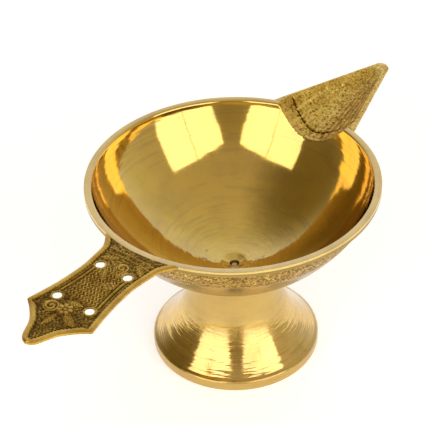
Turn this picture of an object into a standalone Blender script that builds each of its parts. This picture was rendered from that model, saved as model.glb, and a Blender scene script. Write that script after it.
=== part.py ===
"""Brass diya oil lamp with a plate handle, a leaf-shaped wick spout and a screwed pedestal foot.

Lengths are in metres and +Z is up. The lamp stands on Z = 0. The handle points to -X and the
spout to +X. Everything turned on the lathe shares one vertical axis, which lies a little to the
+X side of the origin, so that the origin is under the middle of the whole lamp.
"""

import math

import bmesh
import bpy
from mathutils import Vector

MM = 0.001

# The whole lamp
LAMP_HEIGHT = 69.8 * MM        # ground to the top of the lip
RIM_RADIUS = 50.0 * MM         # outside of the lip
HANDLE_REACH = 101.9 * MM      # lathe axis to the end of the handle
SPOUT_REACH = 93.5 * MM        # lathe axis to the tip of the spout
GAP = 0.3 * MM                 # clearance between neighbouring pieces

# Bowl
LIP_WIDTH = 2.5 * MM           # flat turned ring on top of the wall
LIP_EDGE = 2.0 * MM            # height of the lip's upright outer edge
LIP_CHAMFER = 0.4 * MM
BOWL_DEPTH = 35.8 * MM         # lip to the middle of the floor
BOWL_WALL = 1.7 * MM           # wall under the lip
BOWL_FLOOR = 1.4 * MM          # floor without its boss
BOWL_FULLNESS = 1.3            # exponents of the bowl's curve: larger is fuller
BOWL_ROUNDNESS = 0.48
OUTSIDE_START = 0.985          # the outer wall starts under the lip at this share of its radius
SEAT_THICKNESS = 2.0 * MM      # floor to the flat ring that sits on the foot
SEAT_FILLET = 2.0 * MM
BOSS_RADIUS = 8.0 * MM         # boss inside that ring, which drops into the foot's socket
BOSS_THICKNESS = 4.5 * MM      # floor to the bottom of the tapped boss
DISH_RADIUS = 3.9 * MM         # shallow dish turned around the middle hole
DISH_DEPTH = 0.8 * MM

# Stud, seal, washer and nut
THREAD_RADIUS = 1.5 * MM       # crest of the tapped threads, which the holes are drawn at
STUD_RADIUS = THREAD_RADIUS - GAP
STUD_RECESS = 0.6 * MM         # top of the stud under the bottom of the dish
STUD_TAIL = 0.9 * MM           # stud showing below the nut
STUD_CHAMFER = 0.3 * MM
SEAL_THICKNESS = 0.8 * MM
SEAL_SETBACK = 0.3 * MM        # seal's edge inside the boss's edge
WASHER_RADIUS = 3.5 * MM
WASHER_THICKNESS = 0.6 * MM
NUT_ACROSS_FLATS = 5.5 * MM
NUT_THICKNESS = 2.4 * MM

# Foot
BASE_RADIUS = 29.5 * MM
BASE_BAND = 4.0 * MM           # height of the upright band at the ground
BASE_CHAMFER = 0.4 * MM
BASE_SHOULDER = 1.0 * MM       # rounding from the band to the flare
BASE_RING = 3.0 * MM           # width of the ring that stands on the ground
NECK_RADIUS = 15.5 * MM
FLARE_POWER = 2.17             # how quickly the flare turns up into the neck
FOOT_WALL = 2.2 * MM
FOOT_WEB = 6.0 * MM            # metal between the socket's floor and the hollow below

# Handle plate, widths as half-widths from its centre line
HANDLE_THICKNESS = 1.5 * MM
HANDLE_RISE = 0.4 * MM         # top of its border above the lip
HANDLE_ROOT = 14.8 * MM        # at the rim
HANDLE_WAIST = 10.2 * MM
HANDLE_WAIST_AT = 0.30         # places along the plate, 0 at the rim and 1 at its end
HANDLE_SHOULDER = 13.2 * MM
HANDLE_SHOULDER_AT = 0.70
HANDLE_TIP_RADIUS = 2.6 * MM
HANDLE_BORDER = 1.6 * MM       # flat raised border around the sunk field
HANDLE_SINK = 0.4 * MM
HANDLE_HOLE_RADIUS = 1.5 * MM
NEAR_HOLES = (11.2 * MM, 5.6 * MM)   # distance from the rim, distance from the centre line
FAR_HOLES = (30.2 * MM, 6.6 * MM)

# Spout
SPOUT_ROOT = 17.3 * MM         # half-width where its sides meet the rim
SPOUT_TIP_RADIUS = 3.4 * MM
SPOUT_DROP = 2.3 * MM          # tip below the lip
SPOUT_BORDER = 1.4 * MM        # flat edge on each side of the trough
TROUGH_MOUTH = 14.2 * MM       # half-width of the trough where it opens into the bowl
TROUGH_DEPTH = 8.4 * MM        # below the lip, at the bowl's inner wall
TROUGH_TIP_DEPTH = 0.7 * MM
SPOUT_WALL = 2.0 * MM
SPOUT_EDGE = 1.2 * MM          # thickness at its side edges
NOTCH_MARGIN = 1.4 * MM        # spout metal on each side of the trough, inside the notch
NOTCH_STEP = 0.2 * MM          # its underside in the notch above its underside outside

# Share of the inset that a point of an inset outline keeps from the outline itself
INSET_KEPT = 0.98

# Facets
BOWL_FACETS = 80
FOOT_FACETS = 64
SMALL_FACETS = 24
BOWL_STEPS = 14
FLARE_STEPS = 10
SPOUT_STATIONS = 12
TROUGH_STEPS = 10

# Places that follow from the sizes above
AXIS_X = (HANDLE_REACH - SPOUT_REACH) / 2
MOUTH_RADIUS = RIM_RADIUS - LIP_WIDTH
FLOOR_Z = LAMP_HEIGHT - BOWL_DEPTH
SEAT_Z = FLOOR_Z - SEAT_THICKNESS
BOSS_Z = FLOOR_Z - BOSS_THICKNESS
SEAL_Z = BOSS_Z - GAP - SEAL_THICKNESS
SOCKET_Z = SEAL_Z - GAP
FOOT_HEIGHT = SEAT_Z - GAP
CEILING_Z = SOCKET_Z - FOOT_WEB
WASHER_Z = CEILING_Z - GAP - WASHER_THICKNESS
NUT_Z = WASHER_Z - GAP - NUT_THICKNESS
STUD_Z = NUT_Z - STUD_TAIL
STUD_TOP_Z = FLOOR_Z - DISH_DEPTH - STUD_RECESS

BRASS_POLISHED = (0.83, 0.62, 0.22, 1.0)
BRASS_CAST = (0.62, 0.44, 0.14, 1.0)
BRASS_SATIN = (0.80, 0.61, 0.27, 1.0)
STEEL = (0.55, 0.55, 0.53, 1.0)
RUBBER = (0.05, 0.04, 0.04, 1.0)


def clear_scene():
    for item in list(bpy.data.objects):
        bpy.data.objects.remove(item, do_unlink=True)


def make_material(name, colour, roughness, metallic):
    material = bpy.data.materials.new(name)
    material.use_nodes = True
    shader = material.node_tree.nodes["Principled BSDF"]
    shader.inputs["Base Color"].default_value = colour
    shader.inputs["Roughness"].default_value = roughness
    shader.inputs["Metallic"].default_value = metallic
    material.diffuse_color = colour
    return material


def add_object(name, bm, parent, height=0.0):
    """Turn a bmesh into an object that stands on its parent's axis at a height."""
    bmesh.ops.recalc_face_normals(bm, faces=bm.faces)
    mesh = bpy.data.meshes.new(name)
    bm.to_mesh(mesh)
    bm.free()
    mesh.shade_smooth()
    mesh.set_sharp_from_angle(angle=math.radians(35))
    piece = bpy.data.objects.new(name, mesh)
    bpy.context.scene.collection.objects.link(piece)
    piece.parent = parent
    piece.location.z = height
    return piece


def add_axis(name, parent=None, x=0.0):
    axis = bpy.data.objects.new(name, None)
    bpy.context.scene.collection.objects.link(axis)
    axis.parent = parent
    axis.location.x = x
    return axis


def finish_piece(piece, colour, roughness, metallic=1.0):
    piece.data.materials.append(make_material(piece.name + "_finish", colour, roughness, metallic))
    return piece


def make_cutter(piece):
    piece.hide_render = True
    piece.display_type = "WIRE"
    return piece


def cut(piece, cutter):
    difference = piece.modifiers.new("cut_" + cutter.name, "BOOLEAN")
    difference.operation = "DIFFERENCE"
    difference.solver = "EXACT"
    difference.object = cutter


def turned(profile, facets):
    """Spin a closed (radius, height) outline once around the Z axis."""
    bm = bmesh.new()
    corners = [bm.verts.new((radius, 0.0, height)) for radius, height in profile]
    edges = [bm.edges.new((corners[i - 1], corners[i])) for i in range(len(corners))]
    bmesh.ops.spin(bm, geom=corners + edges, cent=(0, 0, 0), axis=(0, 0, 1),
                   angle=math.tau, steps=facets, use_merge=True)
    bmesh.ops.remove_doubles(bm, verts=bm.verts, dist=0.01 * MM)
    return bm


def extruded(outline, thickness):
    """Raise a closed (x, y) outline from Z = 0 to a thickness."""
    bm = bmesh.new()
    face = bm.faces.new([bm.verts.new((x, y, 0.0)) for x, y in outline])
    raised = bmesh.ops.extrude_face_region(bm, geom=[face])["geom"]
    moved = [item for item in raised if isinstance(item, bmesh.types.BMVert)]
    bmesh.ops.translate(bm, verts=moved, vec=(0, 0, thickness))
    bmesh.ops.recalc_face_normals(bm, faces=bm.faces)
    return bm


def curve_through(points, steps):
    """Catmull-Rom curve through a few points, with some steps between each two."""
    padded = [points[0]] + list(points) + [points[-1]]
    found = []
    for a, b, c, d in zip(padded, padded[1:], padded[2:], padded[3:]):
        for step in range(steps):
            t = step / steps
            found.append(tuple(
                0.5 * (2 * q + (r - p) * t + (2 * p - 5 * q + 4 * r - s) * t ** 2
                       + (3 * q - p - 3 * r + s) * t ** 3)
                for p, q, r, s in zip(a, b, c, d)))
    found.append(tuple(points[-1]))
    return found


def inset_outline(outline, distance):
    """Move a closed (x, y) outline inwards, leaving out what would fold over at tight corners."""
    corners = [Vector(point) for point in outline]
    area = sum(a.cross(b) for a, b in zip(corners[-1:] + corners, corners))
    inwards = math.copysign(1.0, area)
    found = []
    for i, corner in enumerate(corners):
        arriving = (corner - corners[i - 1]).normalized()
        leaving = (corners[(i + 1) % len(corners)] - corner).normalized()
        middle = (arriving + leaving).normalized()
        reach = distance / middle.dot(leaving)
        moved = corner + inwards * reach * Vector((-middle.y, middle.x))
        if distance_to_outline(moved, corners) > INSET_KEPT * distance:
            found.append(tuple(moved))
    return found


def distance_to_outline(point, corners):
    """Shortest way from a point to the edges of a closed outline."""
    nearest = math.inf
    for start, end in zip(corners[-1:] + corners, corners):
        along = (point - start).dot(end - start) / (end - start).length_squared
        foot = start + (end - start) * min(max(along, 0.0), 1.0)
        nearest = min(nearest, (point - foot).length)
    return nearest


def offset_profile(profile, distance):
    """Move an open (radius, height) line sideways, to the left of its direction."""
    moved = []
    for i, (radius, height) in enumerate(profile):
        before = profile[max(i - 1, 0)]
        after = profile[min(i + 1, len(profile) - 1)]
        run = after[0] - before[0]
        rise = after[1] - before[1]
        length = math.hypot(run, rise)
        moved.append((radius - distance * rise / length, height + distance * run / length))
    return moved


# ---------------------------------------------------------------- bowl

def bowl_curve(mouth, depth, first_radius, last_radius):
    """Points of the bowl's curve from one radius in to another, as (radius, height)."""
    def angle_at(radius):
        share = min(radius / mouth, 1.0) ** (0.5 / BOWL_ROUNDNESS)
        return math.acos(share)

    start = angle_at(first_radius)
    end = angle_at(last_radius)
    points = []
    for step in range(BOWL_STEPS + 1):
        angle = start + (end - start) * step / BOWL_STEPS
        radius = mouth * math.cos(angle) ** (2 * BOWL_ROUNDNESS)
        fall = depth * math.sin(angle) ** (2 / BOWL_FULLNESS)
        points.append((radius, LAMP_HEIGHT - fall))
    return points


def bowl_inside():
    return bowl_curve(MOUTH_RADIUS, BOWL_DEPTH, MOUTH_RADIUS, DISH_RADIUS)


def bowl_outside():
    seat_edge = NECK_RADIUS + SEAT_FILLET
    wall_radius = MOUTH_RADIUS + BOWL_WALL
    return bowl_curve(wall_radius, BOWL_DEPTH + BOWL_FLOOR, wall_radius * OUTSIDE_START, seat_edge)


def seat_fillet(start_height):
    """Quarter round from the bowl's outside down to the upright edge of the seat."""
    points = []
    for step in range(1, 5):
        angle = math.radians(90 * step / 4)
        radius = NECK_RADIUS + SEAT_FILLET * (1 - math.sin(angle))
        points.append((radius, start_height - SEAT_FILLET * (1 - math.cos(angle))))
    return points


def make_bowl(parent):
    outside = bowl_outside()
    inside = [point for point in bowl_inside() if point[1] < LAMP_HEIGHT - LIP_CHAMFER]
    profile = [
        (MOUTH_RADIUS, LAMP_HEIGHT - LIP_CHAMFER),
        (MOUTH_RADIUS + LIP_CHAMFER, LAMP_HEIGHT),
        (RIM_RADIUS - LIP_CHAMFER, LAMP_HEIGHT),
        (RIM_RADIUS, LAMP_HEIGHT - LIP_CHAMFER),
        (RIM_RADIUS, LAMP_HEIGHT - LIP_EDGE),
    ]
    profile += outside
    profile += seat_fillet(outside[-1][1])
    profile += [
        (NECK_RADIUS, SEAT_Z),
        (BOSS_RADIUS, SEAT_Z),
        (BOSS_RADIUS, BOSS_Z),
        (THREAD_RADIUS, BOSS_Z),
        (THREAD_RADIUS, FLOOR_Z - DISH_DEPTH),
    ]
    profile += list(reversed(inside))
    bowl = add_object("bowl", turned(profile, BOWL_FACETS), parent)
    return finish_piece(bowl, BRASS_POLISHED, 0.16)


def make_cavity_cutter(parent):
    """The room inside the bowl, which the spout's inner end is trimmed to."""
    top = LAMP_HEIGHT + SPOUT_WALL
    profile = [(0.0, top), (MOUTH_RADIUS, top)] + bowl_inside() + [(0.0, FLOOR_Z)]
    return make_cutter(add_object("cavity_cutter", turned(profile, BOWL_FACETS), parent))


def make_envelope_cutter(parent):
    """The whole bowl as one solid with its gap, which the spout's shoulders are trimmed to."""
    top = LAMP_HEIGHT + SPOUT_WALL
    outer_edge = RIM_RADIUS + GAP
    profile = [(0.0, top), (outer_edge, top), (outer_edge, LAMP_HEIGHT - LIP_EDGE - GAP)]
    profile += offset_profile(bowl_outside(), GAP)
    profile += [(0.0, BOSS_Z)]
    return make_cutter(add_object("envelope_cutter", turned(profile, BOWL_FACETS), parent))


# ---------------------------------------------------------------- spout

SPOUT_START = 0.80 * MOUTH_RADIUS
SPOUT_SIDE_START = math.sqrt(RIM_RADIUS ** 2 - SPOUT_ROOT ** 2)
SPOUT_TAPER = (SPOUT_ROOT - SPOUT_TIP_RADIUS) / (SPOUT_REACH - SPOUT_TIP_RADIUS - SPOUT_SIDE_START)


def spout_half_width(x):
    """Straight taper from the rim, closed by a round tip."""
    straight = SPOUT_ROOT - SPOUT_TAPER * (x - SPOUT_SIDE_START)
    from_centre = x - (SPOUT_REACH - SPOUT_TIP_RADIUS)
    if from_centre <= 0:
        return straight
    return math.sqrt(max(SPOUT_TIP_RADIUS ** 2 - from_centre ** 2, 0.0))


def spout_level(x):
    """Height of the flat side edges: level with the lip, then dropping to the tip."""
    along = max(x - RIM_RADIUS, 0.0) / (SPOUT_REACH - RIM_RADIUS)
    return LAMP_HEIGHT - SPOUT_DROP * along


def trough_depth(x):
    inner_end = MOUTH_RADIUS - LIP_WIDTH
    along = (x - inner_end) / (SPOUT_REACH - inner_end)
    return TROUGH_DEPTH + (TROUGH_TIP_DEPTH - TROUGH_DEPTH) * along


def hanging_arc(x, half_width, top, depth):
    """One crosswise arc from +Y to -Y that hangs a depth below its two ends."""
    points = []
    for step in range(TROUGH_STEPS + 1):
        across = 1 - 2 * step / TROUGH_STEPS
        points.append((x, half_width * across, top - depth * (1 - across ** 2)))
    return points


def spout_section(x):
    """Closed crosswise outline: flat edges, the trough above and its underside below."""
    half_width = spout_half_width(x)
    level = spout_level(x)
    inner = min(TROUGH_MOUTH, half_width - min(SPOUT_BORDER, 0.45 * half_width))
    depth = trough_depth(x)
    top = [(x, half_width, level)]
    top += hanging_arc(x, inner, level, depth)
    top += [(x, -half_width, level)]
    below = hanging_arc(x, half_width, level - SPOUT_EDGE, depth + SPOUT_WALL - SPOUT_EDGE)
    return top + list(reversed(below))


def notch_section(x, clearance):
    """Crosswise outline of the opening in the bowl's wall, open above the lip."""
    half_width = TROUGH_MOUTH + NOTCH_MARGIN + clearance
    level = spout_level(x)
    depth = trough_depth(x) + SPOUT_WALL - NOTCH_STEP - SPOUT_EDGE
    above = LAMP_HEIGHT + 2 * SPOUT_WALL
    arc = hanging_arc(x, half_width, level - SPOUT_EDGE - clearance, depth)
    return [(x, half_width, above)] + arc + [(x, -half_width, above)]


def lofted(sections):
    """Skin closed outlines with the same number of points, and cap both ends."""
    bm = bmesh.new()
    rings = [[bm.verts.new(point) for point in section] for section in sections]
    for first, second in zip(rings, rings[1:]):
        for i in range(len(first)):
            bm.faces.new((first[i - 1], first[i], second[i], second[i - 1]))
    bm.faces.new(rings[0])
    bm.faces.new(rings[-1])
    bmesh.ops.recalc_face_normals(bm, faces=bm.faces)
    return bm


def spout_stations():
    tip_centre = SPOUT_REACH - SPOUT_TIP_RADIUS
    straight = [SPOUT_START + (tip_centre - SPOUT_START) * i / SPOUT_STATIONS
                for i in range(SPOUT_STATIONS + 1)]
    angles = [math.radians(degrees) for degrees in (20, 40, 58, 72, 83)]
    return straight + [tip_centre + SPOUT_TIP_RADIUS * math.sin(angle) for angle in angles]


def make_spout(parent):
    spout = add_object("spout", lofted([spout_section(x) for x in spout_stations()]), parent)
    envelope = make_envelope_cutter(parent)
    cut(envelope, make_notch_cutter("spout_neck_cutter", parent, 0.0))
    cut(spout, envelope)
    cut(spout, make_cavity_cutter(parent))
    return finish_piece(spout, BRASS_CAST, 0.38)


def make_notch_cutter(name, parent, clearance):
    stations = (SPOUT_START - LIP_WIDTH, RIM_RADIUS, RIM_RADIUS + 3 * LIP_WIDTH)
    sections = [notch_section(x, clearance) for x in stations]
    return make_cutter(add_object(name, lofted(sections), parent))


# ---------------------------------------------------------------- handle

def handle_outline():
    """Plan of the plate, running out along +Y, round the end and back along -Y."""
    length = HANDLE_REACH - RIM_RADIUS
    start = RIM_RADIUS + GAP

    def at(share):
        return -(RIM_RADIUS + length * share)

    root_angle = math.asin(HANDLE_ROOT / start)
    shoulder_x = at(HANDLE_SHOULDER_AT)
    side = curve_through([
        (-start * math.cos(root_angle), HANDLE_ROOT),
        (at(0.055), 0.30 * HANDLE_ROOT + 0.70 * HANDLE_WAIST),
        (at(0.15), 0.12 * HANDLE_ROOT + 0.88 * HANDLE_WAIST),
        (at(HANDLE_WAIST_AT), HANDLE_WAIST),
        (at(0.5), 0.68 * HANDLE_WAIST + 0.32 * HANDLE_SHOULDER),
        (shoulder_x, HANDLE_SHOULDER),
    ], 4)
    end = curve_through([
        (shoulder_x - 0.5 * MM, HANDLE_SHOULDER - 0.2 * MM),
        (at(0.755), 0.76 * HANDLE_SHOULDER),
        (at(0.84), 0.45 * HANDLE_SHOULDER),
        (at(0.94), HANDLE_TIP_RADIUS * 1.35),
        (-HANDLE_REACH + HANDLE_TIP_RADIUS * 0.35, HANDLE_TIP_RADIUS * 0.75),
        (-HANDLE_REACH, 0.0),
    ], 4)
    half = side + end
    mirrored = [(x, -y) for x, y in reversed(half[:-1])]
    seat = []
    for step in range(1, 12):
        angle = -root_angle + 2 * root_angle * step / 12
        seat.append((-start * math.cos(angle), start * math.sin(angle)))
    return half + mirrored + seat


def make_hole_cutter(parent, x, y, number):
    bm = bmesh.new()
    bmesh.ops.create_cone(bm, cap_ends=True, segments=SMALL_FACETS, radius1=HANDLE_HOLE_RADIUS,
                          radius2=HANDLE_HOLE_RADIUS, depth=4 * HANDLE_THICKNESS)
    cutter = add_object("hole_cutter_%d" % number, bm, parent, LAMP_HEIGHT)
    cutter.location.x = x
    cutter.location.y = y
    return make_cutter(cutter)


def make_handle(parent):
    outline = handle_outline()
    top = LAMP_HEIGHT + HANDLE_RISE
    plate = extruded(outline, HANDLE_THICKNESS)
    handle = add_object("handle", plate, parent, top - HANDLE_THICKNESS)
    field = extruded(inset_outline(outline, HANDLE_BORDER), HANDLE_THICKNESS)
    cut(handle, make_cutter(add_object("field_cutter", field, parent, top - HANDLE_SINK)))
    places = [(distance, side * offset) for distance, offset in (NEAR_HOLES, FAR_HOLES)
              for side in (1, -1)]
    for number, (distance, y) in enumerate(places, 1):
        cut(handle, make_hole_cutter(parent, -RIM_RADIUS - distance, y, number))
    return finish_piece(handle, BRASS_CAST, 0.40)


# ---------------------------------------------------------------- foot

def flare_curve():
    """Outside of the flare from the base band up to the neck, as (radius, height)."""
    flare_radius = BASE_RADIUS - BASE_SHOULDER
    points = []
    for step in range(FLARE_STEPS + 1):
        share = step / FLARE_STEPS
        radius = NECK_RADIUS + (flare_radius - NECK_RADIUS) * (1 - share) ** FLARE_POWER
        points.append((radius, BASE_BAND + (FOOT_HEIGHT - BASE_BAND) * share))
    return points


def make_foot(parent):
    flare = flare_curve()
    hollow = [point for point in offset_profile(flare, FOOT_WALL)
              if point[1] < CEILING_Z - FOOT_WALL and point[0] < BASE_RADIUS - BASE_RING]
    socket_radius = BOSS_RADIUS + GAP
    shoulder_height = BASE_BAND - BASE_SHOULDER
    profile = [
        (BASE_RADIUS - BASE_RING, 0.0),
        (BASE_RADIUS - BASE_CHAMFER, 0.0),
        (BASE_RADIUS, BASE_CHAMFER),
        (BASE_RADIUS, shoulder_height),
        (BASE_RADIUS - 0.3 * BASE_SHOULDER, shoulder_height + 0.7 * BASE_SHOULDER),
    ]
    profile += flare
    profile += [
        (socket_radius, FOOT_HEIGHT),
        (socket_radius, SOCKET_Z),
        (THREAD_RADIUS, SOCKET_Z),
        (THREAD_RADIUS, CEILING_Z),
        (hollow[-1][0], CEILING_Z),
    ]
    profile += list(reversed(hollow))
    foot = add_object("foot", turned(profile, FOOT_FACETS), parent)
    return finish_piece(foot, BRASS_SATIN, 0.22)


# ---------------------------------------------------------------- small parts inside the foot

def make_ring(name, parent, height, thickness, radius, colour, roughness, metallic):
    profile = [(THREAD_RADIUS, 0.0), (radius, 0.0), (radius, thickness), (THREAD_RADIUS, thickness)]
    ring = add_object(name, turned(profile, 2 * SMALL_FACETS), parent, height)
    return finish_piece(ring, colour, roughness, metallic)


def make_stud(parent):
    length = STUD_TOP_Z - STUD_Z
    profile = [
        (0.0, 0.0),
        (STUD_RADIUS - STUD_CHAMFER, 0.0),
        (STUD_RADIUS, STUD_CHAMFER),
        (STUD_RADIUS, length - STUD_CHAMFER),
        (STUD_RADIUS - STUD_CHAMFER, length),
        (0.0, length),
    ]
    stud = add_object("stud", turned(profile, SMALL_FACETS), parent, STUD_Z)
    return finish_piece(stud, BRASS_SATIN, 0.30)


def make_nut(parent):
    corner = NUT_ACROSS_FLATS / 2 / math.cos(math.radians(30))
    outline = [(corner * math.cos(math.radians(60 * i)), corner * math.sin(math.radians(60 * i)))
               for i in range(6)]
    nut = add_object("nut", extruded(outline, NUT_THICKNESS), parent, NUT_Z)
    bm = bmesh.new()
    bmesh.ops.create_cone(bm, cap_ends=True, segments=SMALL_FACETS, radius1=THREAD_RADIUS,
                          radius2=THREAD_RADIUS, depth=3 * NUT_THICKNESS)
    cut(nut, make_cutter(add_object("nut_bore_cutter", bm, parent, NUT_Z)))
    return finish_piece(nut, STEEL, 0.35)


def main():
    clear_scene()
    lathe_axis = add_axis("lathe_axis", x=AXIS_X)

    bowl = make_bowl(lathe_axis)
    cut(bowl, make_notch_cutter("notch_cutter", lathe_axis, GAP))
    make_spout(lathe_axis)
    make_handle(lathe_axis)

    # The seal drops with the foot, and the foot turns on the same axis.
    seal_travel = add_axis("seal_travel", lathe_axis)
    make_ring("seal_washer", seal_travel, SEAL_Z, SEAL_THICKNESS, BOSS_RADIUS - SEAL_SETBACK,
              RUBBER, 0.75, 0.0)
    foot_turn = add_axis("foot_turn", seal_travel)
    make_foot(foot_turn)
    make_stud(foot_turn)
    make_ring("plain_washer", foot_turn, WASHER_Z, WASHER_THICKNESS, WASHER_RADIUS,
              STEEL, 0.35, 1.0)
    make_nut(foot_turn)


main()
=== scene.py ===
"""Looks of a brass diya oil lamp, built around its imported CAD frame.

Fine meshes stand for the bowl, handle, spout, foot, stud, washers and nut. Lengths are in metres,
+Z is up, the handle points to -X and the spout to +X. Plan places of the turned pieces, the handle
and the spout are measured from the lathe axis.
"""
import math

import bpy
import numpy as np
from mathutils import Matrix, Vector


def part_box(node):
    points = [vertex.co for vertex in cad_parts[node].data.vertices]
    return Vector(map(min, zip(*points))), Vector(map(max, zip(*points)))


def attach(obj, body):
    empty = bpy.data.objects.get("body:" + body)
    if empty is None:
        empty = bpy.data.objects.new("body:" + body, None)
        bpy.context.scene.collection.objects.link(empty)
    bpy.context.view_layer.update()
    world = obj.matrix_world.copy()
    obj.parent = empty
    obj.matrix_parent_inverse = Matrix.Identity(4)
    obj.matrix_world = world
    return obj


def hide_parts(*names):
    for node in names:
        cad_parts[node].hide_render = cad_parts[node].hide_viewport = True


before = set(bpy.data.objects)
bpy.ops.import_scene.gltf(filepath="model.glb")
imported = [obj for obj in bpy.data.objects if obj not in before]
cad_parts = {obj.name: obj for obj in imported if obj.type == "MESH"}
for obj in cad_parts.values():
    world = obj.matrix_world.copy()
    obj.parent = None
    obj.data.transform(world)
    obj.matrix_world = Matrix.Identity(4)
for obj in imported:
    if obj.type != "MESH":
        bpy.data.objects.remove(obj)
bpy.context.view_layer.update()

MM = 0.001
TAU = math.tau

# ---------------------------------------------------------------- sizes

# Read from the frame
BOWL_LOW, BOWL_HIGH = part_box("bowl")
SEAL_LOW, SEAL_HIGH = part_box("seal_washer")
FOOT_LOW, FOOT_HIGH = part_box("foot")
STUD_LOW, STUD_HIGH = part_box("stud")
WASHER_LOW, WASHER_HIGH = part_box("plain_washer")
NUT_LOW, NUT_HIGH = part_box("nut")
HANDLE_LOW, HANDLE_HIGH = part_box("handle")
SPOUT_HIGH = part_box("spout")[1]
AXIS_X = (SEAL_LOW[0] + SEAL_HIGH[0]) / 2
LIP_Z = BOWL_HIGH[2]
RIM_RADIUS = (BOWL_HIGH[1] - BOWL_LOW[1]) / 2
BASE_RADIUS = (FOOT_HIGH[1] - FOOT_LOW[1]) / 2
FOOT_TOP = FOOT_HIGH[2]
HANDLE_REACH = AXIS_X - HANDLE_LOW[0]
SPOUT_REACH = SPOUT_HIGH[0] - AXIS_X
HANDLE_TOP = HANDLE_HIGH[2]
BOSS_Z = BOWL_LOW[2]

# Gaps
CLEARANCE = 0.3 * MM           # round pieces that sit inside the foot
JOINT_LINE = 0.15 * MM         # fine line between foot and bowl

# Bowl
LIP_WIDTH = 2.5 * MM
LIP_EDGE = 2.0 * MM
LIP_CHAMFER = 0.45 * MM
MOUTH_RADIUS = RIM_RADIUS - LIP_WIDTH
BOWL_DEPTH = 35.8 * MM
BOWL_WALL = 1.7 * MM
BOWL_FLOOR = 1.4 * MM
BOWL_FULLNESS = 1.3
BOWL_ROUNDNESS = 0.48
FLOOR_Z = LIP_Z - BOWL_DEPTH
SEAT_Z = FOOT_TOP + JOINT_LINE
SEAT_FILLET = 2.0 * MM
BOSS_RADIUS = 8.0 * MM
DISH_RADIUS = 3.9 * MM
DISH_DEPTH = 0.8 * MM
BORE_RADIUS = 1.5 * MM
CAST_BAND = 9.3 * MM           # height of the as-cast band under the lip
BAND_RELIEF = 0.38 * MM
WALL_RIPPLE = 0.0035 * MM      # left by the lathe on the inner wall
BOWL_FACETS = 640

# Foot
NECK_RADIUS = 15.5 * MM
BASE_BAND = 4.0 * MM
BASE_CHAMFER = 0.4 * MM
BASE_SHOULDER = 1.0 * MM
BASE_RING = 3.0 * MM
FLARE_POWER = 2.17
FOOT_WALL = 2.2 * MM
SOCKET_Z = SEAL_LOW[2] - CLEARANCE
CEILING_Z = WASHER_HIGH[2] + CLEARANCE
TOOL_MARKS = 0.010 * MM        # steps left by the tool on the flare
FOOT_FACETS = 320

# Handle, widths as half-widths
HANDLE_THICKNESS = 1.5 * MM
HANDLE_ROOT = 14.8 * MM
HANDLE_WAIST = 10.2 * MM
HANDLE_SHOULDER = 13.2 * MM
HANDLE_TIP_RADIUS = 2.6 * MM
HANDLE_BORDER = 1.6 * MM
HANDLE_SINK = 0.50 * MM        # of the field inside the border
HANDLE_RELIEF = 0.46 * MM
HOLE_RADIUS = 1.5 * MM
HOLE_TAPER = 1.3 * MM          # growth of the radius down to below the plate
HOLE_FACETS = 48
# Distance out from the rim and to either side
NEAR_HOLES = (11.2 * MM, 5.6 * MM)
FAR_HOLES = (30.2 * MM, 6.6 * MM)

# Spout
SPOUT_ROOT = 17.3 * MM
SPOUT_TIP_RADIUS = 3.4 * MM
SPOUT_DROP = 2.3 * MM
SPOUT_BORDER = 1.4 * MM
SPOUT_WALL = 2.0 * MM
SPOUT_EDGE = 1.2 * MM
TROUGH_MOUTH = 14.2 * MM
TROUGH_DEPTH = 8.4 * MM
TROUGH_TIP_DEPTH = 0.7 * MM
SPOUT_RELIEF = 0.50 * MM
DASH_ROWS = (10.3 * MM, 7.4 * MM, 4.9 * MM)
GROOVE_X = 48.3 * MM
GROOVE_BEND = 0.09
GROOVE_POWER = 1.55

# Thread of the stud
THREAD_PITCH = 0.5 * MM
THREAD_DEPTH = 0.3 * MM

# Colours of the metals, linear
BRASS_BRIGHT = (0.86, 0.58, 0.16)
BRASS_INNER = (0.84, 0.565, 0.088)
BRASS_LIP = (0.84, 0.58, 0.15)
BRASS_TAN = (0.60, 0.395, 0.090)
BRASS_DEEP = (0.34, 0.17, 0.015)
# Outside of the bowl, facing the floor: satin, with its base colour darkened as painted shade
SATIN_SHADED_BRIGHT = (0.38, 0.26, 0.07)
SATIN_SHADED_DULL = (0.30, 0.19, 0.04)
STEEL = (0.55, 0.55, 0.53)
STEEL_DULL = (0.42, 0.42, 0.40)
RUBBER = (0.03, 0.028, 0.026)
RUBBER_DULL = (0.018, 0.017, 0.016)

# Cast brass: rubbed crests, the heights between, and the patina in the recesses
BAND_TONES = ((0.80, 0.53, 0.10), (0.40, 0.24, 0.030), (0.12, 0.062, 0.005))
ORNAMENT_TONES = ((0.78, 0.50, 0.10), (0.42, 0.25, 0.034), (0.12, 0.066, 0.006))
SPOUT_TONES = ((0.92, 0.65, 0.17), (0.56, 0.36, 0.055), (0.13, 0.068, 0.005))
CREST_ROUGHNESS = 0.30
RECESS_ROUGHNESS = 0.58
CAST_GRAIN_DEPTH = 0.09 * MM

# Clear gloss over the turned brass
COAT_IOR = 1.9
COAT_ROUGHNESS = 0.06


# ---------------------------------------------------------------- noise and curves

def value_noise(x, y, cell, seed):
    """Smooth random heights between 0 and 1 over a plane, on square cells."""
    size = 64
    lattice = np.random.default_rng(seed).random((size, size))
    across = x / cell
    along = y / cell
    column = np.floor(across).astype(int)
    row = np.floor(along).astype(int)
    across = across - column
    along = along - row
    across = across * across * (3 - 2 * across)
    along = along * along * (3 - 2 * along)

    def corner(right, up):
        return lattice[(column + right) % size, (row + up) % size]

    low = corner(0, 0) * (1 - across) + corner(1, 0) * across
    high = corner(0, 1) * (1 - across) + corner(1, 1) * across
    return low * (1 - along) + high * along


def smooth_step(value, low, high):
    share = np.clip((value - low) / (high - low), 0, 1)
    return share * share * (3 - 2 * share)


def crest(distance, half_width):
    """A rounded ridge: 1 on its line, 0 from half_width away."""
    return np.clip(1 - (distance / half_width) ** 2, 0, 1)


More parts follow.
